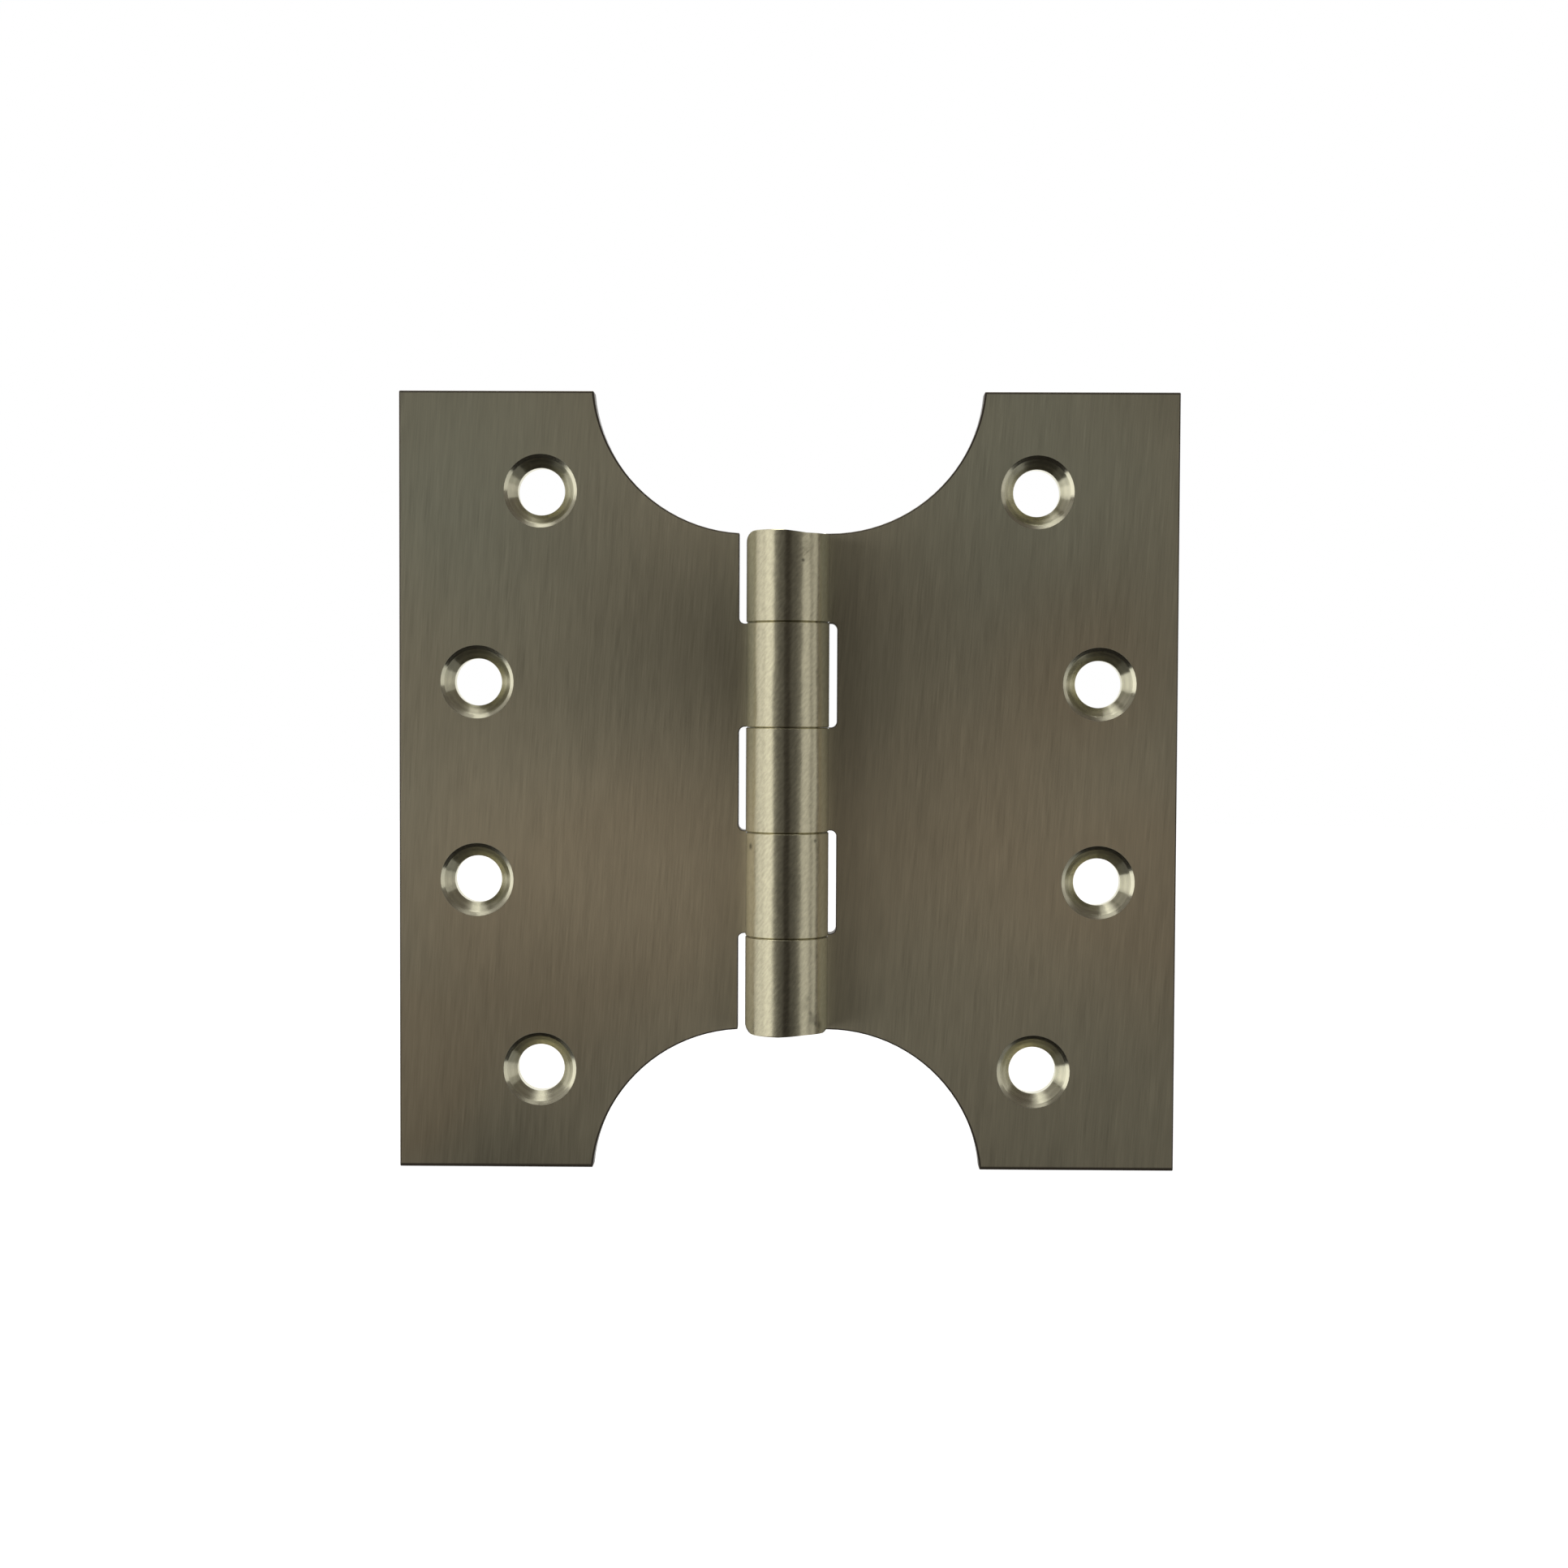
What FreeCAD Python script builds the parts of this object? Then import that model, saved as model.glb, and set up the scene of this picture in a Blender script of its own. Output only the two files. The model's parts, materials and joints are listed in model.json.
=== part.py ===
import FreeCAD, Part
import math
import os

# A parliament hinge: two scooped leaves of plated sheet, rolled into knuckles round one pin.
# The hinge is drawn flat open, in millimetres. The origin lies on the pin's axis at half the leaves'
# height. Z runs up along the pin, X runs across the leaves, and -Y is the side the screws go in from.

# The leaves
leaf_height = 102.0
leaf_width = 51.0  # from the pin's axis to the outer edge
leaf_thickness = 3.0
leaf_corner_radius = 0.15  # of the outline's outside corners
edge_bevel = 0.1  # worn along the sheared edges by the polishing

# The round scoops that leave only a narrow waist of sheet beside the barrel
scoop_radius = 20.2

# The barrel: the knuckles' pitch follows from its length and from the two end knuckles
pin_diameter = 4.8
barrel_length = 65.1
knuckle_count = 5
end_knuckle_length = 12.2
knuckle_shift = 0.45  # how far the joints lie above the middle of the barrel
knuckle_gap = 0.05
knuckle_edge_bevel = 0.12
running_clearance = 0.045  # all round the pin in the knuckles that turn on it
barrel_side_gap = 1.05  # between the barrel and the edge of the leaf that it turns past
notch_corner_radius = 0.8

# The rolled end of a knuckle, where the sheet's tail comes back to the face of its own leaf
tail_gap = 0.2
tail_edge_round = 0.4
top_tail_relief = 0.42  # the tail is a little narrower than the knuckle, as cut
bottom_tail_relief = 0.27
tail_relief_start = 1.0  # how far before the pin's axis the relief begins
tail_relief_run = 3.4  # the width over which it slopes down
top_tail_corner_radius = 0.35
bottom_tail_corner_radius = 0.8

# The outside corners of the barrel's two ends, drawn in by the rolling on the side away from the leaf
drawn_corner_radius = 1.4

# The pin's ends
pin_end_recess = 0.5
pin_end_chamfer = 0.5

# The screw holes: one pair near the scoops' corners and one pair nearer the outer edge
hole_diameter = 6.2
countersink_diameter = 9.6
countersink_angle = 95.0  # a little over 90 once polished
rim_band_width = 0.45  # the flatter band that the polishing left round the countersink's rim
rim_band_tilt = 32.0  # of that band, from the leaf's face
corner_hole_end_distance = 13.0
corner_hole_edge_distance = 18.5
middle_hole_spacing = 26.0
middle_hole_edge_distance = 10.2

# What follows from them
pin_radius = pin_diameter / 2
barrel_radius = pin_radius + leaf_thickness
face_depth = pin_radius  # of the leaves' front faces behind the pin's axis
back_depth = barrel_radius  # of their back faces, tangent to the barrel
barrel_end = barrel_length / 2
leaf_end = leaf_height / 2
inner_edge = barrel_radius + barrel_side_gap
knuckle_pitch = (barrel_length - 2 * end_knuckle_length) / (knuckle_count - 2)
overcut = 1.0  # how far a cutting tool reaches past the metal
tolerance = 1e-4


def knuckle_spans():
    """Return the lowest and highest height of each knuckle, from the top of the barrel down."""
    half_joints = (knuckle_count - 2) / 2
    joints = [knuckle_shift + knuckle_pitch * (half_joints - i) for i in range(knuckle_count - 1)]
    tops = [barrel_end] + [joint - knuckle_gap / 2 for joint in joints]
    bottoms = [joint + knuckle_gap / 2 for joint in joints] + [-barrel_end]
    return list(zip(bottoms, tops))


def box_between(low, high):
    """Return a box from its lowest corner to its highest."""
    size = [b - a for a, b in zip(low, high)]
    return Part.makeBox(*size, FreeCAD.Vector(*low))


def scoop_cutter(direction):
    """Return what is cut from the leaf's end: the round scoop and all that lies above the barrel.

    direction is 1 for the top of the leaf and -1 for its bottom.
    """
    centre_height = barrel_end + scoop_radius
    reach = max(leaf_end, centre_height) + overcut
    y_low = face_depth - overcut
    y_high = back_depth + overcut
    round_part = Part.makeCylinder(
        scoop_radius,
        y_high - y_low,
        FreeCAD.Vector(barrel_radius, y_low, centre_height),
        FreeCAD.Vector(0, 1, 0),
    )
    above_round = box_between(
        (barrel_radius, y_low, centre_height), (barrel_radius + scoop_radius, y_high, reach)
    )
    above_barrel = box_between((-overcut, y_low, barrel_end), (barrel_radius, y_high, reach))
    cutter = round_part.fuse([above_round, above_barrel])
    if direction < 0:
        cutter = cutter.mirror(FreeCAD.Vector(), FreeCAD.Vector(0, 0, 1))
    return cutter


def notch_cutter(low, high):
    """Return the notch that clears another leaf's knuckle, with its two inner corners rounded."""
    notch = box_between(
        (-overcut, face_depth - overcut, low), (inner_edge, back_depth + overcut, high)
    )
    corners = [
        edge
        for edge in notch.Edges
        if abs(edge.BoundBox.XMin - inner_edge) < tolerance and edge.BoundBox.YLength > tolerance
        and edge.BoundBox.ZLength < tolerance
    ]
    return notch.makeFillet(notch_corner_radius, corners)


def sink_cone(x, z, floor_radius, floor_depth, widening):
    """Return the cone that narrows to floor_radius at floor_depth below the leaf's front face.

    widening is what its radius gains for each millimetre outward.
    """
    height = floor_depth + overcut
    wide_radius = floor_radius + height * widening
    start = FreeCAD.Vector(x, face_depth - overcut, z)
    return Part.makeCone(wide_radius, floor_radius, height, start, FreeCAD.Vector(0, 1, 0))


def screw_hole(x, z):
    """Return the cutter of one countersunk hole, sunk from the leaf's front face."""
    hole_radius = hole_diameter / 2
    band_radius = countersink_diameter / 2 - rim_band_width
    band_slope = math.tan(math.radians(rim_band_tilt))
    band_depth = rim_band_width * band_slope
    wall_widening = math.tan(math.radians(countersink_angle / 2))
    sink_depth = band_depth + (band_radius - hole_radius) / wall_widening
    start = FreeCAD.Vector(x, face_depth - overcut, z)
    shank = Part.makeCylinder(
        hole_radius, leaf_thickness + 2 * overcut, start, FreeCAD.Vector(0, 1, 0)
    )
    band = sink_cone(x, z, band_radius, band_depth, 1 / band_slope)
    wall = sink_cone(x, z, hole_radius, sink_depth, wall_widening)
    return shank.fuse([band, wall])


def hole_places():
    """Return the places of the four screw holes across and up the leaf."""
    corner_x = leaf_width - corner_hole_edge_distance
    corner_z = leaf_end - corner_hole_end_distance
    middle_x = leaf_width - middle_hole_edge_distance
    middle_z = middle_hole_spacing / 2
    return [(corner_x, corner_z), (middle_x, middle_z), (middle_x, -middle_z), (corner_x, -corner_z)]


def flat_blank(notches):
    """Return the flat part of a leaf with its fingers, which end square above the pin's axis."""
    sheet = box_between((0, face_depth, -leaf_end), (leaf_width, back_depth, leaf_end))
    cutters = [scoop_cutter(1), scoop_cutter(-1)] + [notch_cutter(low, high) for low, high in notches]
    blank = sheet.cut(cutters).removeSplitter()

    # The outside corners of the outline: the outer edge's two and the tips beside the scoops
    corners = [
        edge
        for edge in blank.Edges
        if edge.BoundBox.YLength > leaf_thickness - tolerance
        and abs(abs(edge.BoundBox.ZMin) - leaf_end) < tolerance
    ]
    blank = blank.makeFillet(leaf_corner_radius, corners)

    # The sheared edges all round both faces, apart from the fingers' square ends
    sheared = [
        edge
        for edge in blank.Edges
        if edge.BoundBox.YLength < tolerance and edge.BoundBox.XMax > tolerance
    ]
    blank = blank.makeChamfer(edge_bevel, sheared)
    return blank.cut([screw_hole(x, z) for x, z in hole_places()])


def rolled_section(bore_radius):
    """Return the section of a knuckle: the sheet's curl from above the pin round to its tail."""
    tail_angle = math.degrees(math.asin((face_depth - tail_gap) / barrel_radius))
    up = FreeCAD.Vector(0, 0, 1)
    outer = Part.makeCircle(barrel_radius, FreeCAD.Vector(), up, 90, 360 + tail_angle)
    inner = Part.makeCircle(bore_radius, FreeCAD.Vector(), up, 90, 360 + tail_angle)
    ends = [
        Part.makeLine(outer.valueAt(place_out), inner.valueAt(place_in))
        for place_out, place_in in (
            (outer.FirstParameter, inner.FirstParameter),
            (outer.LastParameter, inner.LastParameter),
        )
    ]
    return Part.Face(Part.Wire(Part.__sortEdges__([outer, ends[0], inner, ends[1]])))


def corner_section(side, height, direction, size, is_round):
    """Return the section of what is cut from an outside corner of a knuckle, in the plane of X and Z.

    side is 1 for a corner at +X and -1 for one at -X. size is the corner's radius where is_round is
    true, and otherwise the width of a plain bevel.
    """
    shoulder = FreeCAD.Vector(side * barrel_radius, 0, height - direction * size)
    rim = FreeCAD.Vector(side * (barrel_radius - size), 0, height)
    if is_round:
        middle = size * math.sqrt(0.5)
        on_arc = FreeCAD.Vector(
            side * (barrel_radius - size + middle), 0, height - direction * (size - middle)
        )
        corner = Part.Arc(shoulder, on_arc, rim).toShape()
    else:
        corner = Part.makeLine(shoulder, rim)
    beyond = height + direction * overcut
    outside = side * (barrel_radius + overcut)
    around = [
        rim,
        FreeCAD.Vector(rim.x, 0, beyond),
        FreeCAD.Vector(outside, 0, beyond),
        FreeCAD.Vector(outside, 0, shoulder.z),
        shoulder,
    ]
    return Part.Face(Part.Wire([corner] + Part.makePolygon(around).Edges))


def rim_bevel(height, direction):
    """Return the ring that bevels the outside edge of one end of a knuckle."""
    section = corner_section(1, height, direction, knuckle_edge_bevel, is_round=False)
    return section.revolve(FreeCAD.Vector(), FreeCAD.Vector(0, 0, 1), 360)


def drawn_corner_cutter(direction):
    """Return what the rolling draws in at one end of the barrel, on the side away from the leaf."""
    section = corner_section(-1, direction * barrel_end, direction, drawn_corner_radius, is_round=True)
    half_depth = barrel_radius + overcut
    section.translate(FreeCAD.Vector(0, -half_depth, 0))
    return section.extrude(FreeCAD.Vector(0, 2 * half_depth, 0))


def tail_cutters(direction, relief, corner_radius):
    """Return what narrows a barrel end over the tail: a wedge sloping down, and the tail's corner."""
    end = direction * barrel_end
    lowered = direction * (barrel_end - relief)
    beyond = direction * (barrel_end + overcut)
    front = -barrel_radius - overcut
    side = barrel_radius + overcut
    depth = FreeCAD.Vector(0, face_depth - tail_gap - front, 0)
    wedge = [
        FreeCAD.Vector(-tail_relief_start, front, end),
        FreeCAD.Vector(tail_relief_run - tail_relief_start, front, lowered),
        FreeCAD.Vector(side, front, lowered),
        FreeCAD.Vector(side, front, beyond),
        FreeCAD.Vector(-tail_relief_start, front, beyond),
        FreeCAD.Vector(-tail_relief_start, front, end),
    ]
    corner = corner_section(1, lowered, direction, corner_radius, is_round=True)
    corner.translate(FreeCAD.Vector(0, front, 0))
    return [Part.Face(Part.makePolygon(wedge)).extrude(depth), corner.extrude(depth)]


def knuckle_curl(low, high, bore_radius):
    """Return one knuckle's curl between two heights, for the leaf on the +X side."""
    curl = rolled_section(bore_radius)
    curl.translate(FreeCAD.Vector(0, 0, low))
    curl = curl.extrude(FreeCAD.Vector(0, 0, high - low))
    tail_edges = [
        edge
        for edge in curl.Edges
        if edge.BoundBox.ZLength > tolerance and edge.BoundBox.XMin > bore_radius + tolerance
    ]
    curl = curl.makeFillet(tail_edge_round, tail_edges)

    ends = (
        (high, 1, top_tail_relief, top_tail_corner_radius),
        (low, -1, bottom_tail_relief, bottom_tail_corner_radius),
    )
    cutters = []
    for height, direction, relief, corner_radius in ends:
        cutters.append(rim_bevel(height, direction))
        if abs(height - direction * barrel_end) < tolerance:
            cutters.append(drawn_corner_cutter(direction))
            cutters.extend(tail_cutters(direction, relief, corner_radius))
    return curl.cut(cutters)


def leaf(first_knuckle, clearance):
    """Return a whole leaf on the +X side that carries every second knuckle from the first on.

    clearance is what its bores leave all round the pin.
    """
    spans = knuckle_spans()
    own = spans[first_knuckle::2]
    bore_radius = pin_radius + clearance

    # A notch lies above, between or below the leaf's own knuckles, wherever the barrel goes on
    past_end = leaf_end + overcut
    lows = [-past_end] + [high for low, high in reversed(own)]
    highs = [low for low, high in reversed(own)] + [past_end]
    notches = [
        (low, high)
        for low, high in zip(lows, highs)
        if high > -barrel_end + tolerance and low < barrel_end - tolerance
    ]

    curls = [knuckle_curl(low, high, bore_radius) for low, high in own]
    joined = flat_blank(notches).fuse(curls)
    bore = Part.makeCylinder(bore_radius, leaf_height, FreeCAD.Vector(0, 0, -leaf_end))
    return joined.cut(bore).removeSplitter()


def pin():
    """Return the pin, a plain bar with chamfered ends set a little inside the barrel's ends."""
    end = barrel_end - pin_end_recess
    bar = Part.makeCylinder(pin_radius, 2 * end, FreeCAD.Vector(0, 0, -end))
    rims = [edge for edge in bar.Edges if edge.BoundBox.ZLength < tolerance]
    return bar.makeChamfer(pin_end_chamfer, rims)


def main():
    """Build the three pieces and write each one to its own file."""
    mirror_plane = FreeCAD.Vector(1, 0, 0)
    pieces = {
        "three_knuckle_leaf": leaf(first_knuckle=0, clearance=0),
        "two_knuckle_leaf": leaf(first_knuckle=1, clearance=running_clearance).mirror(
            FreeCAD.Vector(), mirror_plane
        ),
        "hinge_pin": pin(),
    }
    os.makedirs("parts", exist_ok=True)
    for name, shape in pieces.items():
        print(name, "valid" if shape.isValid() else "not valid", len(shape.Solids), "solid")
        shape.exportStep("parts/" + name + ".step")


main()
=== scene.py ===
import json
import logging
import math
from dataclasses import dataclass, field
from enum import Enum
from typing import Any

import bmesh
import bpy
from mathutils import Matrix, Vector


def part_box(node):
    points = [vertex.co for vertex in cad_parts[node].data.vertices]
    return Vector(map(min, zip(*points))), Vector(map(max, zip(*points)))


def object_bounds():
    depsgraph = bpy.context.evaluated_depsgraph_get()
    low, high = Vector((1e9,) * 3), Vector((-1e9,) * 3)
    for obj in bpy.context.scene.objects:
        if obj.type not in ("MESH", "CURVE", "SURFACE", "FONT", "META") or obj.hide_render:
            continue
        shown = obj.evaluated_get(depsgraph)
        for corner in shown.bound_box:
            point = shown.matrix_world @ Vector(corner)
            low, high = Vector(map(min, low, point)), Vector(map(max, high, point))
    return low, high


# A parliament hinge of brushed nickel-plated steel, standing flat open on a pale floor. The frame is in
# metres: Z runs up along the pin, X runs across the leaves, and the screws go in from the -Y side. The
# finishes measure in millimetres; the studio and the camera are in metres.

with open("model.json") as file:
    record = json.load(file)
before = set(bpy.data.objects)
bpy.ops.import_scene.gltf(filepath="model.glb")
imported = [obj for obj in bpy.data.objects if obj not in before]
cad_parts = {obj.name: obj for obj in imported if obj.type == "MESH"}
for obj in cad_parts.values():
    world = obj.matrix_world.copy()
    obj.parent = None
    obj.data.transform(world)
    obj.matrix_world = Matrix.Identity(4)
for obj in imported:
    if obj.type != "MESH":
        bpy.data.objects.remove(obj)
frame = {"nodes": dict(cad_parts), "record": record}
cad_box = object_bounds()

Colour = tuple[float, float, float]
Range = tuple[float, float]

MM = 0.001
# Points of the model lie on one level when they differ by less than this many millimetres.
SAME_LEVEL = 0.01
# Noise varies about this mean, and each finer octave of it is this strong beside the one before.
NOISE_MEAN = 0.5
NOISE_GAIN = 0.5
COARSE_DETAIL = 2.0
FINE_DETAIL = 3.0
MATH_SOCKETS = ("Value", "Value_001")

log = logging.getLogger("hinge")


class Sum(Enum):
    """The sums that a Math node does for the shader expressions."""

    ADD = "ADD"
    SUBTRACT = "SUBTRACT"
    MULTIPLY = "MULTIPLY"
    DIVIDE = "DIVIDE"
    MINIMUM = "MINIMUM"
    MAXIMUM = "MAXIMUM"
    ROOT = "SQRT"
    SIZE = "ABSOLUTE"
    ANGLE = "ARCTAN2"


class Node(Enum):
    """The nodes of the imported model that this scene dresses."""

    THREE_KNUCKLE_LEAF = "three_knuckle_leaf"
    TWO_KNUCKLE_LEAF = "two_knuckle_leaf"
    HINGE_PIN = "hinge_pin"


@dataclass(frozen=True)
class Value:
    """A shader socket that Python's operators combine through Math nodes."""

    graph: "Graph"
    socket: bpy.types.NodeSocket | None

    def math(self, operation: Sum, *others: "Value | float") -> "Value":
        """Return this value combined with others by a Math node."""
        return self.graph.math(operation, self, *others)

    def output(self, name: str) -> "Value":
        """Return another output of the node that this value comes from."""
        return Value(self.graph, self.socket.node.outputs[name])

    def __add__(self, other: "Value | float") -> "Value":
        """Return the sum."""
        return self.math(Sum.ADD, other)

    __radd__ = __add__

    def __mul__(self, other: "Value | float") -> "Value":
        """Return the product."""
        return self.math(Sum.MULTIPLY, other)

    __rmul__ = __mul__

    def __sub__(self, other: "Value | float") -> "Value":
        """Return the difference."""
        return self.math(Sum.SUBTRACT, other)

    def __rsub__(self, other: float) -> "Value":
        """Return the difference from a number."""
        return self.graph.math(Sum.SUBTRACT, other, self)

    def __truediv__(self, other: "Value | float") -> "Value":
        """Return the quotient."""
        return self.math(Sum.DIVIDE, other)

    def __rtruediv__(self, other: float) -> "Value":
        """Return a number divided by this value."""
        return self.graph.math(Sum.DIVIDE, other, self)

    def __abs__(self) -> "Value":
        """Return the value without its sign."""
        return self.math(Sum.SIZE)

    def lowest(self, other: "Value | float") -> "Value":
        """Return the lower of two values."""
        return self.math(Sum.MINIMUM, other)

    def highest(self, other: "Value | float") -> "Value":
        """Return the higher of two values."""
        return self.math(Sum.MAXIMUM, other)

    def rise(self, low: float, high: float) -> "Value":
        """Return a smooth slope from 0 up to 1.

        Args:
            low: Where it starts. Below, it is 0.
            high: Where it ends. Above, it is 1.

        Returns:
            The height of the slope at this value.
        """
        settings = {"interpolation_type": "SMOOTHSTEP"}
        sockets = {"Value": self, "From Min": low, "From Max": high}
        return self.graph.node("ShaderNodeMapRange", settings, sockets)

    def fall(self, low: float, high: float) -> "Value":
        """Return a smooth slope that is 1 below low and 0 above high."""
        return 1 - self.rise(low, high)

    def between(self, first: "Value", second: "Value | float") -> "Value":
        """Return a number that goes from the first to the second as this value goes from 0 to 1."""
        return first + self * (second - first)


@dataclass(frozen=True)
class Graph:
    """The nodes of one material or world, cleared of what Blender puts in a new one."""

    tree: bpy.types.NodeTree

    @classmethod
    def of(cls, owner: bpy.types.ID) -> "Graph":
        """Empty the nodes of a material or a world.

        Args:
            owner: The material or world.

        Returns:
            Its graph.
        """
        owner.use_nodes = True
        owner.node_tree.nodes.clear()
        return cls(owner.node_tree)

    def node(self, kind: str, settings: dict[str, Any], sockets: dict[str, Any]) -> Value:
        """Add a node.

        Args:
            kind: The node's type.
            settings: Its own properties, which are set first.
            sockets: Its inputs by name or identifier, each a value to link or a plain one to set.

        Returns:
            Its first output that is in use, or an empty value where it has none.
        """
        node = self.tree.nodes.new(kind)
        for name, choice in settings.items():
            setattr(node, name, choice)
        for name, content in sockets.items():
            socket = next(s for s in node.inputs if name in (s.identifier, s.name) and s.enabled)
            if isinstance(content, Value):
                self.tree.links.new(content.socket, socket)
            else:
                socket.default_value = content
        return Value(self, next((socket for socket in node.outputs if socket.enabled), None))

    def math(self, operation: Sum, *operands: Value | float) -> Value:
        """Return the result of a Math node for operands in their order."""
        return self.node("ShaderNodeMath", {"operation": operation.value}, dict(zip(MATH_SOCKETS, operands)))

    def parts(self, vector: Value) -> tuple[Value, Value, Value]:
        """Return a vector's three numbers."""
        x = self.node("ShaderNodeSeparateXYZ", {}, {"Vector": vector})
        return x, x.output("Y"), x.output("Z")

    def vector(self, x: Value | float, y: Value | float, z: Value | float) -> Value:
        """Return the vector of three numbers."""
        return self.node("ShaderNodeCombineXYZ", {}, {"X": x, "Y": y, "Z": z})

    def scaled(self, vector: Value, factor: float) -> Value:
        """Return a vector made longer or shorter by a factor."""
        return self.node("ShaderNodeVectorMath", {"operation": "SCALE"}, {"Vector": vector, "Scale": factor})

    def noise(self, place: Value, detail: float) -> Value:
        """Return smooth noise about 0, from about -0.5 to 0.5, that varies over a distance of 1."""
        sockets = {"Vector": place, "Scale": 1.0, "Detail": detail, "Roughness": NOISE_GAIN}
        return self.node("ShaderNodeTexNoise", {"noise_dimensions": "3D"}, sockets) - NOISE_MEAN

    def mix(self, way: str, share: Value | float, first: Value | Colour, second: Value | Colour) -> Value:
        """Put two colours together by a Mix node.

        Args:
            way: The node's way of putting them together.
            share: How much of the second colour counts, from 0 to 1.
            first: One colour.
            second: The other colour.

        Returns:
            The colour that comes of it.
        """
        colours = {
            name: colour if isinstance(colour, Value) else (*colour, 1.0)
            for name, colour in (("A_Color", first), ("B_Color", second))
        }
        settings = {"data_type": "RGBA", "blend_type": way}
        return self.node("ShaderNodeMix", settings, {"Factor_Float": share, **colours})

    def blend(self, share: Value, first: Value | Colour, second: Value | Colour) -> Value:
        """Return a colour that goes from the first to the second as the share goes from 0 to 1."""
        return self.mix("MIX", share, first, second)

    def shade(self, colour: Value | Colour, brightness: Value) -> Value:
        """Return a colour made brighter or darker by a number."""
        channels = {"Red": brightness, "Green": brightness, "Blue": brightness}
        return self.mix("MULTIPLY", 1.0, colour, self.node("ShaderNodeCombineColor", {}, channels))

    def metal(self, colour: Value, roughness: Value, height: Value, stretch: float = 0.0) -> None:
        """Finish a material as bare metal.

        Args:
            colour: Its colour.
            roughness: How rough it is, from 0 to 1.
            height: How far its surface is raised, in millimetres.
            stretch: How far its brushing draws the reflections out sideways, from 0 to 1.
        """
        bump = self.node("ShaderNodeBump", {}, {"Strength": 1.0, "Distance": MM, "Height": height})
        sockets = {
            "Base Color": colour,
            "Metallic": 1.0,
            "Roughness": roughness,
            "Anisotropic": stretch,
            "Normal": bump,
        }
        surface = self.node("ShaderNodeBsdfPrincipled", {}, sockets)
        self.node("ShaderNodeOutputMaterial", {}, {"Surface": surface})

    def shown(self, behind: Value) -> Value:
        """Find where a white background shows.

        Args:
            behind: 1 behind the hinge, where metal and glass show it too, and 0 in front.

        Returns:
            1 to the camera, and behind's number in the reflections of metal and glass.
        """
        path = self.node("ShaderNodeLightPath", {}, {})
        reflected = path.output("Is Glossy Ray").highest(path.output("Is Transmission Ray"))
        return path.output("Is Camera Ray").highest(reflected * behind)


def distance(across: Value, up: Value) -> Value:
    """Return the length of the line that goes so far across and so far up."""
    return (across * across + up * up).math(Sum.ROOT)


def leaning(across: Value, up: Value, lean: float) -> tuple[Value, Value]:
    """Measure a place by a direction that leans to the right from upright.

    Args:
        across: How far across the place is.
        up: How far up it is.
        lean: The angle that the direction leans by.

    Returns:
        How far the place is across the direction, and how far along it.
    """
    return across * math.cos(lean) - up * math.sin(lean), across * math.sin(lean) + up * math.cos(lean)


def beyond(start: float, distances: Range) -> Range:
    """Return the two ends of a slope that lie at these distances beyond a start."""
    return start + distances[0], start + distances[1]


@dataclass(frozen=True)
class Place:
    """A place on a piece as its shader sees it, in the model's frame and in millimetres."""

    graph: Graph
    texture: Value
    point: Value
    x: Value
    y: Value
    z: Value

    @classmethod
    def of(cls, graph: Graph) -> "Place":
        """Look the place up.

        Args:
            graph: The piece's graph.

        Returns:
            The place.
        """
        texture = graph.node("ShaderNodeTexCoord", {}, {})
        point = graph.scaled(texture.output("Object"), 1 / MM)
        return cls(graph, texture, point, *graph.parts(point))

    def facing(self) -> Value:
        """Return 1 where the surface faces along Y, -1 where it faces the other way, and 0 on its edges."""
        return self.graph.parts(self.texture.output("Normal"))[1]


@dataclass(frozen=True)
class Spot:
    """A soft round patch, by its place across and up, in millimetres.

    On the knuckles, the place across is measured round the barrel from its front.
    """

    x: float
    z: float
    radius: float
    strength: float

    def mask(self, across: Value, up: Value) -> Value:
        """Return the patch's strength at a place, which fades to 0 at its radius."""
        return distance(across - self.x, up - self.z).fall(0.0, self.radius) * self.strength


def total(spots: tuple[Spot, ...], across: Value, up: Value) -> Value:
    """Return the strengths of several patches at a place, added up."""
    masks = [spot.mask(across, up) for spot in spots]
    return sum(masks[1:], masks[0])


@dataclass(frozen=True)
class Grain:
    """Streaks of one width and length, in millimetres.

    They are cut from the noise at a layer of their own, so that no two grains match.
    """

    width: float
    length: float
    layer: float
    detail: float = COARSE_DETAIL

    def streaks(self, across: Value, along: Value) -> Value:
        """Return the streaks' pattern about 0, by a place across and along them."""
        place = across.graph.vector(across / self.width, self.layer, along / self.length)
        return across.graph.noise(place, self.detail)


@dataclass(frozen=True)
class Turning:
    """Fine rings that a cutting tool leaves, with what they do to the surface.

    The pitch and the depth are in millimetres. The layer is the place in the noise that they are cut
    from, and contrast and roughness are their effects on the colour and on the roughness.
    """

    pitch: float
    depth: float
    roughness: float
    layer: float
    contrast: float = 0.3

    def rings(self, radius: Value, along: Value | float = 0.0) -> Value:
        """Return the rings' pattern about 0, by the distance from their axis and a place in the noise."""
        place = radius.graph.vector(radius / self.pitch, self.layer, along)
        return radius.graph.noise(place, FINE_DETAIL)


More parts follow.
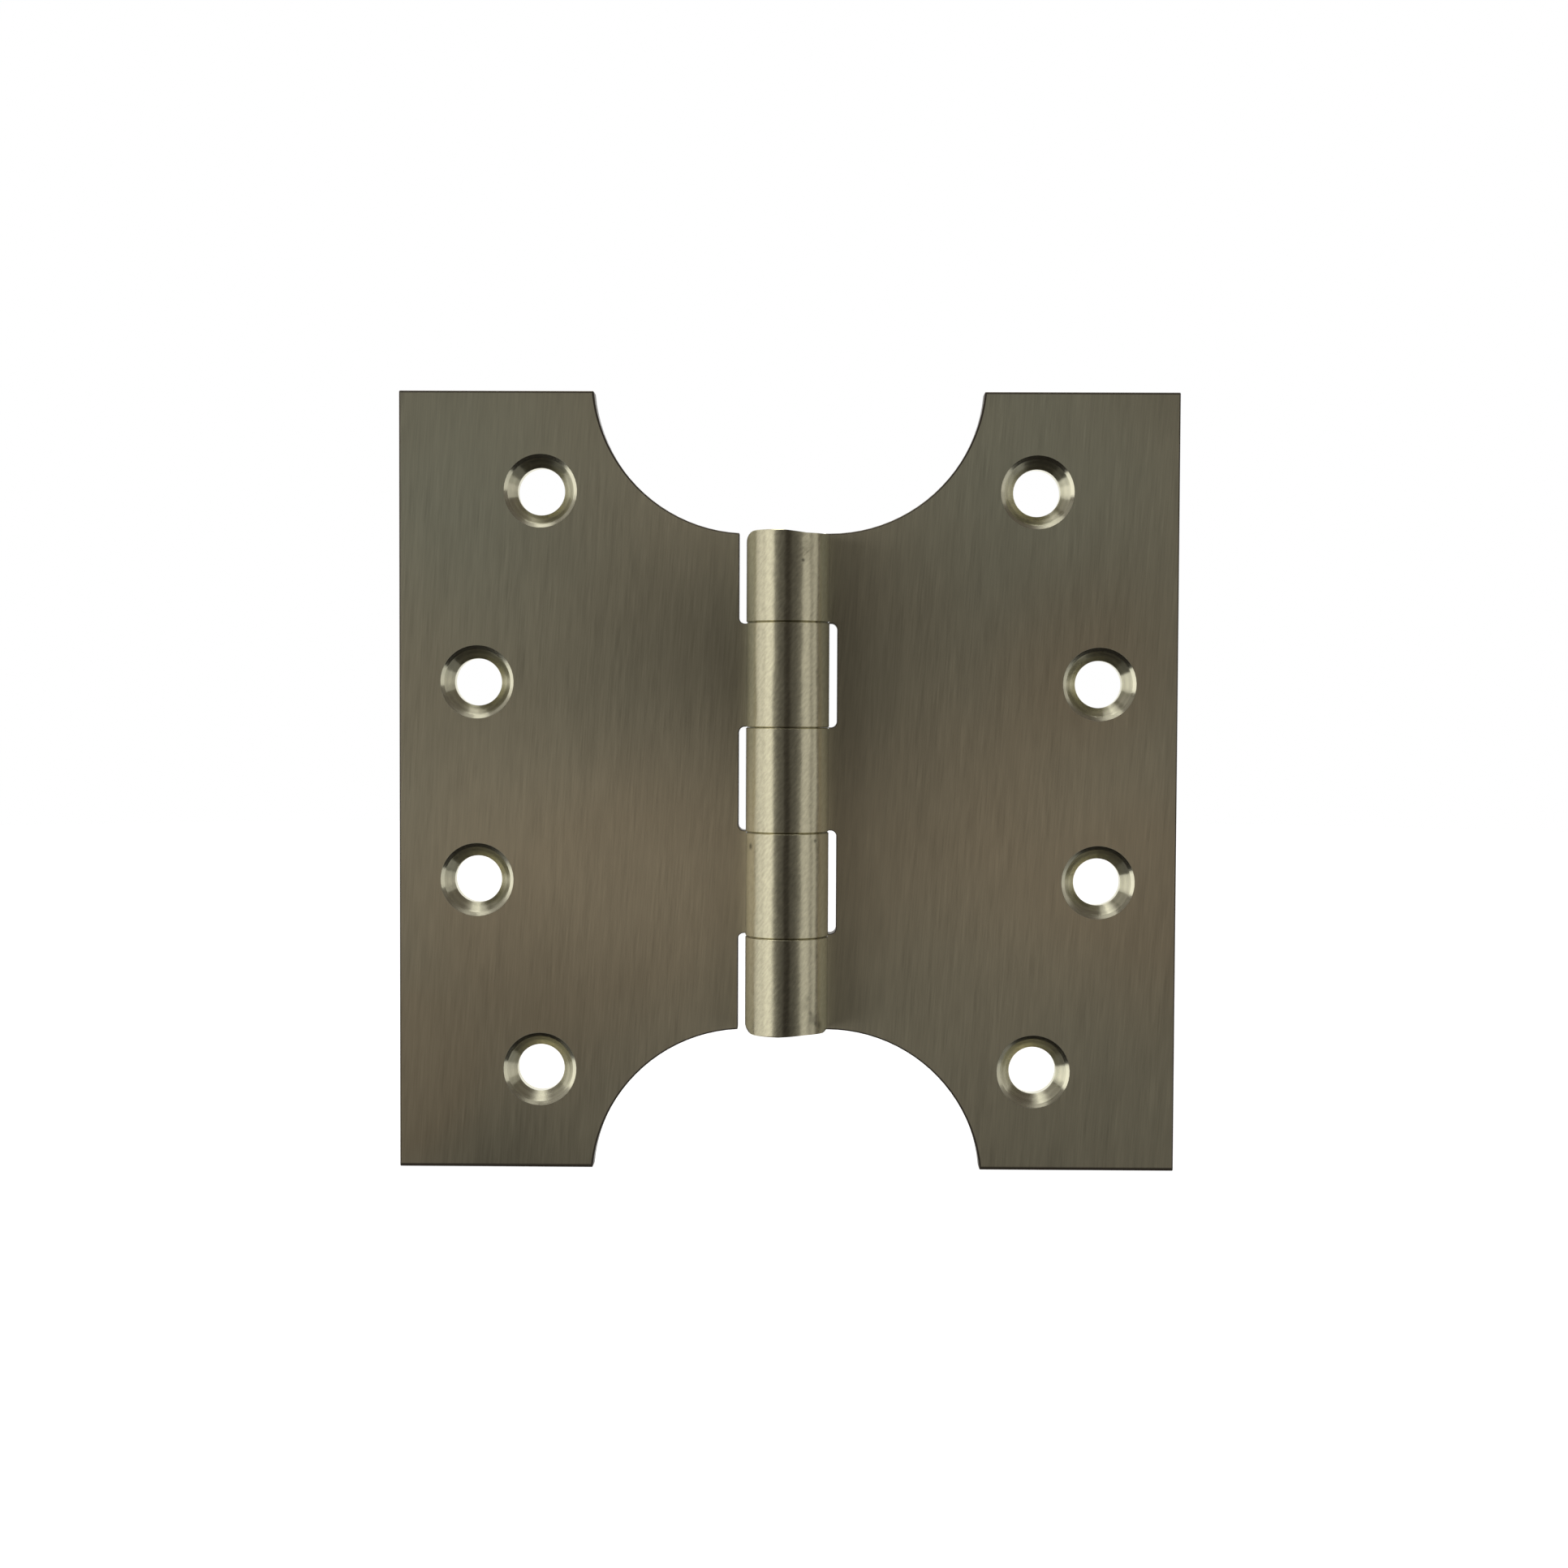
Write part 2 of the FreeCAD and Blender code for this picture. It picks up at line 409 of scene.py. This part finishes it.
@dataclass(frozen=True)
class SheetSizes:
    """What the finish of a leaf needs to know of its shape, in millimetres.

    The scoop at each end of a leaf is a round arc. It starts level, where the barrel's end meets its
    side, and reaches the leaf's end at scoop_corner.
    """

    barrel_radius: float
    barrel_end: float
    face_depth: float
    back_depth: float
    leaf_side: float
    leaf_end: float
    scoop_corner: float
    holes: tuple[tuple[float, float], ...]
    hole_radius: float
    sink_radius: float

    @classmethod
    def from_frame(cls) -> "SheetSizes":
        """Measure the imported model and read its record.

        Returns:
            The sizes of the three-knuckle leaf, which are the other leaf's too.
        """
        leaf = frame["nodes"][Node.THREE_KNUCKLE_LEAF.value]
        points = [vertex.co / MM for vertex in leaf.data.vertices]
        leaf_end = max(point.z for point in points)
        face_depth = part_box(Node.HINGE_PIN.value)[1][0] / MM
        mounts = frame["record"]["mounts"]
        screws = [mount for mount in mounts if mount["kind"] == "bolt_pattern" and mount["pos_m"][0] > 0]
        holes = tuple((mount["pos_m"][0] / MM, mount["dims"]["spacing_y_mm"] / 2) for mount in screws)
        hole_x, hole_z = holes[0]
        face = [point for point in points if abs(point.y - face_depth) < SAME_LEVEL]
        return cls(
            barrel_radius=-min(point.x for point in points),
            barrel_end=max(point.z for point in points if point.x < 0.0),
            face_depth=face_depth,
            back_depth=max(point.y for point in points),
            leaf_side=max(point.x for point in points),
            leaf_end=leaf_end,
            scoop_corner=min(point.x for point in points if point.z > leaf_end - SAME_LEVEL),
            holes=holes,
            hole_radius=screws[0]["dims"]["hole_r_mm"],
            sink_radius=min(math.hypot(point.x - hole_x, point.z - hole_z) for point in face),
        )

    def middle_depth(self) -> float:
        """Return the depth of the middle of the sheet."""
        return (self.face_depth + self.back_depth) / 2

    def scoop_radius(self) -> float:
        """Work out the scoops' arc from its two ends.

        Returns:
            Its radius.
        """
        across = self.scoop_corner - self.barrel_radius
        up = self.leaf_end - self.barrel_end
        return (across * across + up * up) / (2 * up)


@dataclass(frozen=True)
class LeafSurface:
    """What the shader of a leaf works out at a place, before the finish is put together.

    barrel, sink and edge are 1 on the knuckles, in the screw holes and on the sheared edges with the
    line of painted shade along the outline, and 0 elsewhere. angle goes round the barrel from its
    front, and arc is the same in millimetres. The others are patterns about 0.
    """

    at: Place
    barrel: Value
    sink: Value
    edge: Value
    angle: Value
    arc: Value
    streaks: Value
    hairlines: Value
    mottle: Value
    rings: Value


@dataclass(frozen=True)
class LeafFinish:
    """Satin nickel plate over brushed steel, on a leaf and its rolled knuckles.

    The leaves' faces are brushed up and down, a little off the vertical. The knuckles are smoother
    and faintly mottled, and the countersinks were turned after the brushing. Painted shade darkens
    the sheared edges and a thin line along the outline, painted light lightens the knuckles' flanks,
    and soft patches of painted light and shade, partly uneven plating tone, lie over the faces.
    Lengths are in millimetres and angles in radians.

    Each pair of numbers is a slope over which one finish gives way to another: barrel_fade,
    sink_fade and bore_fade beyond the radius of each, sink_floor beyond the middle of the sheet,
    barrel_back in shares of the barrel's radius, barrel_flank_light_slope in angles from the barrel's front
    for the painted light on the knuckles' flanks, and face_tilt in how far the surface faces front or back.
    The line of painted shade along the outline is edge_width wide, and so many times thinner at the
    sides, the scoops, the top and the bottom.
    """

    plate: Colour = (0.508, 0.497, 0.364)
    brown_plate: Colour = (0.508, 0.428, 0.288)
    barrel_plate: Colour = (0.525, 0.492, 0.348)
    # Painted light: the knuckles' flanks are lighter and greener than their front.
    barrel_flank_light_colour: Colour = (0.60, 0.61, 0.53)
    sink_plate: Colour = (0.75, 0.725, 0.545)
    # Painted shade: the dark colour of the sheared edges and of the line along the outline.
    edge_shade_colour: Colour = (0.10, 0.085, 0.065)
    leaf_roughness: float = 0.38
    barrel_roughness: float = 0.16
    sink_roughness: float = 0.22
    edge_roughness: float = 0.4
    stretch: float = 0.8
    barrel_fade: Range = (0.03, 0.1)
    barrel_back: Range = (0.4, 0.9)
    barrel_flank_light_slope: Range = (0.8, 1.05)
    sink_fade: Range = (0.0, 0.04)
    sink_floor: Range = (0.2, 0.25)
    bore_fade: Range = (0.02, 0.06)
    face_tilt: Range = (0.75, 0.95)
    edge_width: float = 0.40
    edge_core: float = 0.5
    side_thinning: float = 1.8
    scoop_thinning: float = 1.8
    top_thinning: float = 1.2
    bottom_thinning: float = 0.75
    lean: float = math.radians(4.0)
    broad_grain: Grain = Grain(width=1.7, length=18.0, layer=0.0)
    broad_contrast: float = 0.10
    fine_grain: Grain = Grain(width=0.55, length=10.0, layer=7.3)
    fine_contrast: float = 0.16
    hairline: Grain = Grain(width=0.16, length=5.0, layer=3.1)
    hairline_contrast: float = 0.30
    hairline_depth: float = 0.0015
    streak_roughness: float = 0.3
    wave: Grain = Grain(width=5.5, length=11.0, layer=2.0)
    wave_height: float = 0.16
    mottling: Grain = Grain(width=0.34, length=0.85, layer=5.0, detail=FINE_DETAIL)
    mottle_slant: float = math.radians(38.0)
    mottle_contrast: float = 0.6
    mottle_roughness: float = 0.08
    mottle_height: float = 0.004
    turning: Turning = Turning(pitch=0.32, depth=0.006, roughness=0.1, layer=4.0)
    plate_tone: float = 0.936
    # Soft patches of painted light and shade on the leaves' faces, partly uneven plating tone.
    tone_and_light_spots: tuple[Spot, ...] = (
        Spot(x=-40.0, z=-48.0, radius=32.0, strength=-0.12),
        Spot(x=-4.0, z=20.0, radius=32.0, strength=-0.25),
        Spot(x=-8.0, z=-12.0, radius=32.0, strength=0.36),
        Spot(x=36.0, z=-8.0, radius=32.0, strength=0.28),
        Spot(x=32.0, z=52.0, radius=32.0, strength=0.27),
        Spot(x=-36.0, z=-8.0, radius=24.0, strength=0.24),
        Spot(x=-4.0, z=44.0, radius=32.0, strength=0.48),
        Spot(x=-36.0, z=48.0, radius=18.0, strength=0.14),
        Spot(x=-38.0, z=-56.0, radius=20.0, strength=-0.25),
        Spot(x=20.0, z=-28.0, radius=32.0, strength=0.12),
        Spot(x=52.0, z=36.0, radius=24.0, strength=0.10),
    )
    brown_share: float = 0.51
    brown_unevenness: float = 0.3
    brown_patch: float = 18.0
    brown_spots: tuple[Spot, ...] = (
        Spot(x=-32.0, z=-20.0, radius=32.0, strength=0.63),
        Spot(x=28.0, z=-8.0, radius=32.0, strength=0.46),
        Spot(x=-44.0, z=40.0, radius=32.0, strength=-0.51),
        Spot(x=32.0, z=44.0, radius=32.0, strength=-0.53),
        Spot(x=-52.0, z=-40.0, radius=18.0, strength=0.86),
        Spot(x=-8.0, z=-8.0, radius=32.0, strength=0.39),
        Spot(x=52.0, z=-16.0, radius=24.0, strength=0.57),
        Spot(x=40.0, z=16.0, radius=18.0, strength=0.35),
    )
    specks: tuple[Spot, ...] = (
        Spot(x=2.0, z=28.6, radius=0.35, strength=0.7),
        Spot(x=-5.7, z=-8.1, radius=0.75, strength=0.7),
        Spot(x=4.0, z=-7.3, radius=0.40, strength=0.6),
        Spot(x=2.9, z=-27.6, radius=0.70, strength=0.3),
        Spot(x=2.7, z=-28.6, radius=0.80, strength=0.25),
        Spot(x=3.4, z=-29.5, radius=0.50, strength=0.4),
        Spot(x=3.8, z=-30.3, radius=1.10, strength=0.4),
        Spot(x=4.2, z=-30.9, radius=0.45, strength=0.4),
        Spot(x=5.0, z=-31.2, radius=0.80, strength=0.4),
    )

    def material(self, name: str, sheet: SheetSizes) -> bpy.types.Material:
        """Make the material.

        Args:
            name: The material's name.
            sheet: The leaf's sizes.

        Returns:
            The material, ready to be put on a leaf.
        """
        material = bpy.data.materials.new(name)
        graph = Graph.of(material)
        on = self.surface(Place.of(graph), sheet)
        graph.metal(self.colour(on), self.roughness(on), self.height(on), self.stretch)
        return material

    def surface(self, at: Place, sheet: SheetSizes) -> LeafSurface:
        """Work out the zones of the finish and its patterns.

        Args:
            at: The place on the leaf.
            sheet: The leaf's sizes.

        Returns:
            What the finish is put together from.
        """
        barrel = self.barrel_zone(at, sheet)
        hole_distance = self.hole_distance(at, sheet)
        sink = self.sink_zone(at, hole_distance, sheet)
        # Painted shade goes on the sheared edges and on a line along the outline.
        sheared = abs(at.facing()).fall(*self.face_tilt).highest(self.edge_shade_line(at, sheet))
        angle = at.x.math(Sum.ANGLE, 0 - at.y)
        arc = angle * sheet.barrel_radius
        across, along = leaning(at.x, at.z, self.lean)
        hairlines = self.hairline.streaks(across, along) * self.hairline_contrast
        broad = self.broad_grain.streaks(across, along) * self.broad_contrast
        fine = self.fine_grain.streaks(across, along) * self.fine_contrast
        return LeafSurface(
            at=at,
            barrel=barrel,
            sink=sink,
            edge=sheared * (1 - barrel) * (1 - sink),
            angle=angle,
            arc=arc,
            streaks=broad + fine + hairlines,
            hairlines=hairlines,
            mottle=self.mottling.streaks(*leaning(arc, at.z, self.mottle_slant)),
            rings=self.turning.rings(hole_distance),
        )

    def barrel_zone(self, at: Place, sheet: SheetSizes) -> Value:
        """Find the knuckles, as far back as they stand free of the sheet.

        Args:
            at: The place on the leaf.
            sheet: The leaf's sizes.

        Returns:
            1 on them and 0 elsewhere.
        """
        radius = sheet.barrel_radius
        rolled = distance(at.x, at.y).fall(*beyond(radius, self.barrel_fade))
        return rolled * at.y.fall(radius * self.barrel_back[0], radius * self.barrel_back[1])

    def hole_distance(self, at: Place, sheet: SheetSizes) -> Value:
        """Find the nearest screw hole.

        Args:
            at: The place on the leaf.
            sheet: The leaf's sizes.

        Returns:
            The distance to its axis.
        """
        corner, middle = [distance(abs(at.x) - hole_x, abs(at.z) - hole_z) for hole_x, hole_z in sheet.holes]
        return corner.lowest(middle)

    def sink_zone(self, at: Place, hole_distance: Value, sheet: SheetSizes) -> Value:
        """Find the countersinks and the bores of the screw holes.

        Args:
            at: The place on the leaf.
            hole_distance: The distance to the axis of the nearest hole.
            sheet: The leaf's sizes.

        Returns:
            1 in them and 0 elsewhere.
        """
        in_front = at.y.fall(*beyond(sheet.middle_depth(), self.sink_floor))
        in_sink = hole_distance.fall(*beyond(sheet.sink_radius, self.sink_fade)) * in_front
        return in_sink.highest(hole_distance.fall(*beyond(sheet.hole_radius, self.bore_fade)))

    def edge_shade_line(self, at: Place, sheet: SheetSizes) -> Value:
        """Find the line of painted shade along a leaf's outline.

        Args:
            at: The place on the leaf.
            sheet: The leaf's sizes.

        Returns:
            1 in its core and 0 beyond its width.
        """
        radius = sheet.scoop_radius()
        centre_up = abs(at.z) - sheet.barrel_end - radius
        from_scoop = abs(distance(abs(at.x) - sheet.barrel_radius, centre_up) - radius)
        from_side = sheet.leaf_side - abs(at.x)
        from_top = (sheet.leaf_end - at.z) * self.top_thinning
        from_bottom = (sheet.leaf_end + at.z) * self.bottom_thinning
        from_line = (from_side * self.side_thinning).lowest(from_top.lowest(from_bottom))
        nearest = from_line.lowest(from_scoop * self.scoop_thinning)
        return nearest.fall(self.edge_width * self.edge_core, self.edge_width)

    def brownness(self, at: Place) -> Value:
        """Work out how brown the plating is, in soft uneven patches.

        Args:
            at: The place on the leaf.

        Returns:
            The share of the brown plate's colour.
        """
        noise = at.graph.noise(at.graph.scaled(at.point, 1 / self.brown_patch), FINE_DETAIL)
        return self.brown_share + noise * self.brown_unevenness + total(self.brown_spots, at.x, at.z)

    def colour(self, on: LeafSurface) -> Value:
        """Put the colours of the zones together.

        Args:
            on: The leaf's surface.

        Returns:
            The colour.
        """
        at = on.at
        graph = at.graph
        # Patches of painted light and shade, partly plating tone, brighten and darken the brushed plate
        # here.
        tone = self.plate_tone + on.streaks + total(self.tone_and_light_spots, at.x, at.z)
        brushed = graph.shade(graph.blend(self.brownness(at), self.plate, self.brown_plate), tone)
        # Painted light lightens the knuckles' flanks, away from their front.
        side = abs(on.angle).rise(*self.barrel_flank_light_slope)
        rolled = graph.blend(side, self.barrel_plate, self.barrel_flank_light_colour)
        marks = (1 + on.mottle * self.mottle_contrast) * (1 - total(self.specks, on.arc, at.z))
        turned = graph.shade(self.sink_plate, 1 + on.rings * self.turning.contrast)
        # Painted shade darkens the sheared edges and the line along the outline.
        leaf = graph.blend(on.edge, brushed, self.edge_shade_colour)
        return graph.blend(on.sink, graph.blend(on.barrel, leaf, graph.shade(rolled, marks)), turned)

    def roughness(self, on: LeafSurface) -> Value:
        """Put the roughness of the zones together.

        Args:
            on: The leaf's surface.

        Returns:
            The roughness, from 0 to 1.
        """
        brushed = self.leaf_roughness + on.streaks * self.streak_roughness
        leaf = on.edge.between(brushed, self.edge_roughness)
        rolled = on.barrel.between(leaf, self.barrel_roughness + on.mottle * self.mottle_roughness)
        return on.sink.between(rolled, self.sink_roughness + on.rings * self.turning.roughness)

    def height(self, on: LeafSurface) -> Value:
        """Put the relief of the zones together.

        Args:
            on: The leaf's surface.

        Returns:
            How far the surface is raised.
        """
        brushed = on.hairlines * (1 - on.barrel) * (1 - on.sink)
        waves = self.wave.streaks(on.arc, on.at.z) * self.wave_height
        return (
            brushed * (self.hairline_depth / self.hairline_contrast)
            + (waves + on.mottle * self.mottle_height) * on.barrel
            + on.rings * on.sink * self.turning.depth
        )


@dataclass(frozen=True)
class PinFinish:
    """Drawn steel bar with turned ends. Its rings fade into each other over line_length millimetres."""

    steel: Colour = (0.50, 0.49, 0.46)
    base_roughness: float = 0.32
    turning: Turning = Turning(pitch=0.25, depth=0.008, roughness=0.15, layer=1.0)
    line_length: float = 30.0

    def material(self, name: str) -> bpy.types.Material:
        """Make the material.

        Args:
            name: The material's name.

        Returns:
            The material, ready to be put on the pin.
        """
        material = bpy.data.materials.new(name)
        graph = Graph.of(material)
        at = Place.of(graph)
        rings = self.turning.rings(distance(at.x, at.y), at.z / self.line_length)
        colour = graph.shade(self.steel, 1 + rings * self.turning.contrast)
        roughness = self.base_roughness + rings * self.turning.roughness
        graph.metal(colour, roughness, rings * self.turning.depth)
        return material


@dataclass
class Leaf:
    """One leaf of the hinge, with its knuckles."""

    node: Node
    finish: LeafFinish
    sheet: SheetSizes

    def build(self) -> None:
        """Dress the leaf's node in its finish."""
        leaf = frame["nodes"][self.node.value]
        leaf.material_slots[0].material = self.finish.material(self.node.value + "_finish", self.sheet)
        log.info("%s dressed in brushed plate", leaf.name)


@dataclass
class Pin:
    """The pin that all the knuckles turn on."""

    finish: PinFinish = field(default_factory=PinFinish)

    def build(self) -> None:
        """Dress the pin's node in its finish."""
        pin = frame["nodes"][Node.HINGE_PIN.value]
        pin.material_slots[0].material = self.finish.material("hinge_pin_finish")
        log.info("%s dressed in drawn steel", pin.name)


@dataclass(frozen=True)
class Softbox:
    """A soft rectangular lamp that faces the hinge.

    aside is the range of directions that it fills, from straight in front and positive to the
    right, and above is the range of its height, both as angles in degrees seen from the hinge.
    """

    name: str
    aside: Range
    above: Range
    radiance: float
    distance: float = 0.6

    def build(self) -> None:
        """Hang the lamp in its place."""
        aside = math.radians(sum(self.aside) / 2)
        above = math.radians(sum(self.above) / 2)
        width = 2 * self.distance * math.tan(math.radians(self.aside[1] - self.aside[0]) / 2)
        height = 2 * self.distance * math.tan(math.radians(self.above[1] - self.above[0]) / 2)
        turn = Matrix.Rotation(aside, 4, "Z") @ Matrix.Rotation(math.pi / 2 - above, 4, "X")
        place = turn @ Matrix.Translation((0, 0, self.distance))
        hang_panel(self.name, (width * math.cos(above), height), place, self.radiance)


@dataclass(frozen=True)
class CeilingPanel:
    """A soft rectangular lamp that lies level above the hinge and faces down.

    across and back are the ranges that it fills from left to right and from front to back, in metres.
    """

    name: str
    across: Range
    back: Range
    radiance: float
    height: float = 0.6

    def build(self) -> None:
        """Hang the lamp in its place."""
        place = Matrix.Translation((sum(self.across) / 2, sum(self.back) / 2, self.height))
        size = (self.across[1] - self.across[0], self.back[1] - self.back[0])
        hang_panel(self.name, size, place, self.radiance)


def hang_panel(name: str, size: tuple[float, float], place: Matrix, radiance: float) -> None:
    """Add a rectangular lamp that the camera can't see.

    Args:
        name: The lamp's name.
        size: Its width and height in metres.
        place: Where it hangs. It shines along its own -Z.
        radiance: How bright its face is, where 1 is as bright as white.
    """
    data = bpy.data.lights.new(name, "AREA")
    data.shape = "RECTANGLE"
    data.size, data.size_y = size
    data.energy = radiance * math.pi * size[0] * size[1]
    lamp = bpy.data.objects.new(name, data)
    bpy.context.scene.collection.objects.link(lamp)
    lamp.matrix_world = place
    lamp.visible_camera = False
    log.info("%s hung", name)


@dataclass
class Studio:
    """The pale floor, the white backdrop and the lamps round the hinge.

    Metal shows the backdrop as white where it lies behind the hinge. The floor's paint turns white to
    metal too, over floor_behind in metres, but the floor is hidden from reflections, so metal never
    shows it. backdrop_behind and backdrop_above are the slopes over which the backdrop turns white to
    metal, by how far a direction points back and up. The camera sees floor_white near the hinge and
    full white past floor_clearing, by the distance from the pin. The room's light goes from room_front
    to room_side over room_turn, by how far a direction points back, and down to room_below over
    room_sinking, by how far it points up.
    """

    floor_height: float
    floor_radius: float = 0.9
    floor_segments: int = 96
    floor_colour: Colour = (0.8, 0.8, 0.8)
    floor_white: float = 0.93
    floor_clearing: Range = (0.15, 0.5)
    floor_behind: Range = (0.0, 0.2)
    backdrop_colour: Colour = (1.0, 1.0, 1.0)
    backdrop_behind: Range = (0.0, 0.4)
    backdrop_above: Range = (-0.98, -0.7)
    room_colour: Colour = (1.0, 0.88, 0.80)
    room_front: float = 0.048
    room_side: float = 0.11
    room_below: float = 0.012
    room_turn: Range = (-1.0, -0.6)
    room_sinking: Range = (-0.35, 0.0)
    lamps: tuple[Softbox | CeilingPanel, ...] = (
        Softbox("left_rear_softbox", (-118, -95), (-25, 23), 0.62),
        Softbox("left_side_softbox", (-95, -85), (-25, 23), 0.74),
        Softbox("left_flank_softbox", (-85, -76), (-25, 23), 0.98),
        Softbox("left_middle_softbox", (-76, -66), (-25, 20), 0.88),
        Softbox("left_key_softbox", (-66, -39), (-25, 15), 1.18),
        Softbox("left_front_softbox", (-39, -27), (-25, 23), 0.22),
        Softbox("left_inner_softbox", (-27, -9), (-25, 23), 0.10),
        Softbox("right_inner_softbox", (9, 27), (-25, 23), 0.09),
        Softbox("right_front_softbox", (27, 39), (-25, 23), 0.16),
        Softbox("right_key_softbox", (39, 64), (-25, 8), 0.68),
        Softbox("right_middle_softbox", (64, 74), (-25, 23), 0.31),
        Softbox("right_side_softbox", (74, 88), (-25, 23), 0.58),
        Softbox("low_left_softbox", (-95, -67), (-50, -25), 0.10),
        Softbox("low_right_softbox", (67, 95), (-50, -25), 0.28),
        Softbox("left_upper_softbox", (-95, -45), (23, 48), 0.2),
        Softbox("front_high_softbox", (-14, 14), (23, 48), 0.7),
        Softbox("left_high_softbox", (-54, -18), (48, 75), 0.85),
        Softbox("middle_high_softbox", (-18, 18), (48, 75), 0.4),
        CeilingPanel("front_ceiling_panel", (-0.36, 0.04), (-0.16, -0.03), 0.6),
        CeilingPanel("back_ceiling_panel", (-0.36, 0.20), (-0.03, 0.12), 2.8),
    )

    def build(self) -> None:
        """Set up the floor, the surroundings and the lamps."""
        self.build_floor()
        self.build_surroundings()
        for lamp in self.lamps:
            lamp.build()

    def build_floor(self) -> None:
        """Lay a round pale floor under the hinge."""
        mesh = bpy.data.meshes.new("floor")
        disc = bmesh.new()
        bmesh.ops.create_circle(disc, cap_ends=True, radius=self.floor_radius, segments=self.floor_segments)
        disc.to_mesh(mesh)
        disc.free()
        mesh.materials.append(self.floor_paint())
        floor = bpy.data.objects.new("floor", mesh)
        bpy.context.scene.collection.objects.link(floor)
        floor.location.z = self.floor_height
        floor.visible_glossy = False
        floor.visible_shadow = False
        log.info("floor laid")

    def floor_paint(self) -> bpy.types.Material:
        """Make the floor's paint, which is white to the camera apart from the hinge's shadow.

        Returns:
            The material.
        """
        material = bpy.data.materials.new("pale_floor")
        graph = Graph.of(material)
        x, y, _ = graph.parts(graph.node("ShaderNodeTexCoord", {}, {}).output("Object"))
        clear = distance(x, y).rise(*self.floor_clearing)
        white = self.floor_white + clear * (1 - self.floor_white)
        shows = graph.shown(y.rise(*self.floor_behind))
        glow = graph.node("ShaderNodeEmission", {}, {"Strength": shows * white})
        paint = graph.node("ShaderNodeBsdfDiffuse", {}, {"Color": (*self.floor_colour, 1.0)})
        both = graph.node("ShaderNodeAddShader", {}, {"Shader": glow, "Shader_001": paint})
        graph.node("ShaderNodeOutputMaterial", {}, {"Surface": both})
        material.cycles.emission_sampling = "NONE"
        return material

    def build_surroundings(self) -> None:
        """Make the white backdrop, which metal shows too, and the dim room in front of the hinge."""
        world = bpy.data.worlds.new("studio")
        bpy.context.scene.world = world
        graph = Graph.of(world)
        _, y, z = graph.parts(graph.node("ShaderNodeTexCoord", {}, {}).output("Generated"))
        shows = graph.shown(y.rise(*self.backdrop_behind) * z.rise(*self.backdrop_above))
        level = self.room_side - y.fall(*self.room_turn) * (self.room_side - self.room_front)
        room = level - z.fall(*self.room_sinking) * (level - self.room_below)
        strength = shows + (1 - shows) * room
        colour = graph.blend(shows, self.room_colour, self.backdrop_colour)
        background = graph.node("ShaderNodeBackground", {}, {"Color": colour, "Strength": strength})
        graph.node("ShaderNodeOutputWorld", {}, {"Surface": background})
        world.cycles.sampling_method = "NONE"
        log.info("backdrop and room made")


@dataclass(frozen=True)
class Viewpoint:
    """The camera, which circles a point near the middle of the hinge."""

    lens: float = 51.67
    sensor: float = 36.0
    distance: float = 0.2929
    above: float = math.radians(2.014)
    aside: float = math.radians(0.624)
    roll: float = math.radians(0.248)
    aim: tuple[float, float, float] = (-0.00043, 0.0, -0.00014)
    sight: Range = (0.01, 10.0)

    def build(self) -> None:
        """Set up the camera as the photograph was taken."""
        data = bpy.data.cameras.new("camera")
        data.lens = self.lens
        data.sensor_width = self.sensor
        data.clip_start, data.clip_end = self.sight
        camera = bpy.data.objects.new("camera", data)
        bpy.context.scene.collection.objects.link(camera)
        turn = Matrix.Rotation(self.aside, 4, "Z") @ Matrix.Rotation(math.pi / 2 - self.above, 4, "X")
        roll = Matrix.Rotation(self.roll, 4, "Z")
        camera.matrix_world = (
            Matrix.Translation(self.aim) @ turn @ roll @ Matrix.Translation((0, 0, self.distance))
        )
        bpy.context.scene.camera = camera
        log.info("camera set at %.0f mm", self.distance / MM)


def main() -> None:
    """Build the hinge, the studio and the camera, in order."""
    logging.basicConfig(level=logging.INFO, format="%(name)s: %(message)s")
    bpy.context.scene.view_settings.view_transform = "Standard"
    sheet = SheetSizes.from_frame()
    finish = LeafFinish()
    Leaf(Node.THREE_KNUCKLE_LEAF, finish, sheet).build()
    Leaf(Node.TWO_KNUCKLE_LEAF, finish, sheet).build()
    Pin().build()
    Studio(floor_height=cad_box[0][2]).build()
    Viewpoint().build()


if __name__ == "__main__":
    main()
